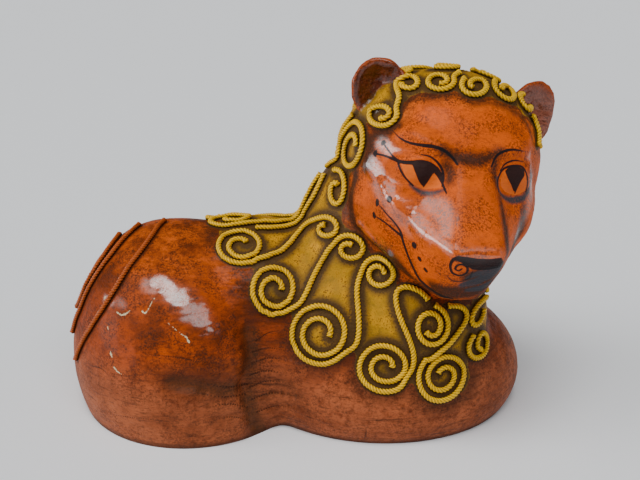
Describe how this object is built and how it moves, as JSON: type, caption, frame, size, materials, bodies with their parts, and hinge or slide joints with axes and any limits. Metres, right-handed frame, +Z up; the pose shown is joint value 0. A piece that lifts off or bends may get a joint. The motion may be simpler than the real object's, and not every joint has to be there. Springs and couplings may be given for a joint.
{
  "type": "papier-mache lion figurine",
  "caption": "Hollow papier-mache lion lying down with its head turned aside, painted, with a mane of glued cord scrolls; stands on its flat underside as an ornament.",
  "frame": {"origin": "on the floor, at the middle of the flat underside", "axes": "+X is the way the body points, from the rump to the front paws; +Y is the lion's left; +Z is up. The head is turned towards -Y."},
  "size_m": [0.3495, 0.2137, 0.2575],
  "materials": {
    "painted_paper": "orange-brown paint with dark glaze under gloss varnish",
    "mane_paint": "twisted cotton cord painted mustard yellow",
    "tail_paint": "twisted cotton cord painted over in orange-brown"
  },
  "bodies": {
    "root": {"body": "painted_paper", "mane_cord_01": "mane_paint", "mane_cord_02": "mane_paint", "mane_cord_03": "mane_paint", "mane_cord_04": "mane_paint", "mane_cord_05": "mane_paint", "mane_cord_06": "mane_paint", "mane_cord_07": "mane_paint", "mane_cord_08": "mane_paint", "mane_cord_09": "mane_paint", "mane_cord_10": "mane_paint", "mane_cord_11": "mane_paint", "mane_cord_12": "mane_paint", "mane_cord_13": "mane_paint", "mane_cord_14": "mane_paint", "mane_cord_15": "mane_paint", "mane_cord_16": "mane_paint", "mane_cord_17": "mane_paint", "mane_cord_18": "mane_paint", "mane_cord_19": "mane_paint", "mane_cord_20": "mane_paint", "mane_cord_21": "mane_paint", "mane_cord_22": "mane_paint", "mane_cord_23": "mane_paint", "mane_cord_24": "mane_paint", "mane_cord_25": "mane_paint", "mane_cord_26": "mane_paint", "mane_cord_27": "mane_paint", "mane_cord_28": "mane_paint", "mane_cord_29": "mane_paint", "mane_cord_30": "mane_paint", "mane_cord_31": "mane_paint", "mane_cord_32": "mane_paint", "mane_cord_33": "mane_paint", "mane_cord_34": "mane_paint", "mane_cord_35": "mane_paint", "mane_cord_36": "mane_paint", "mane_cord_37": "mane_paint", "tail_cord_1": "tail_paint", "tail_cord_2": "tail_paint", "tail_cord_3": "tail_paint"}
  },
  "joints": []
}
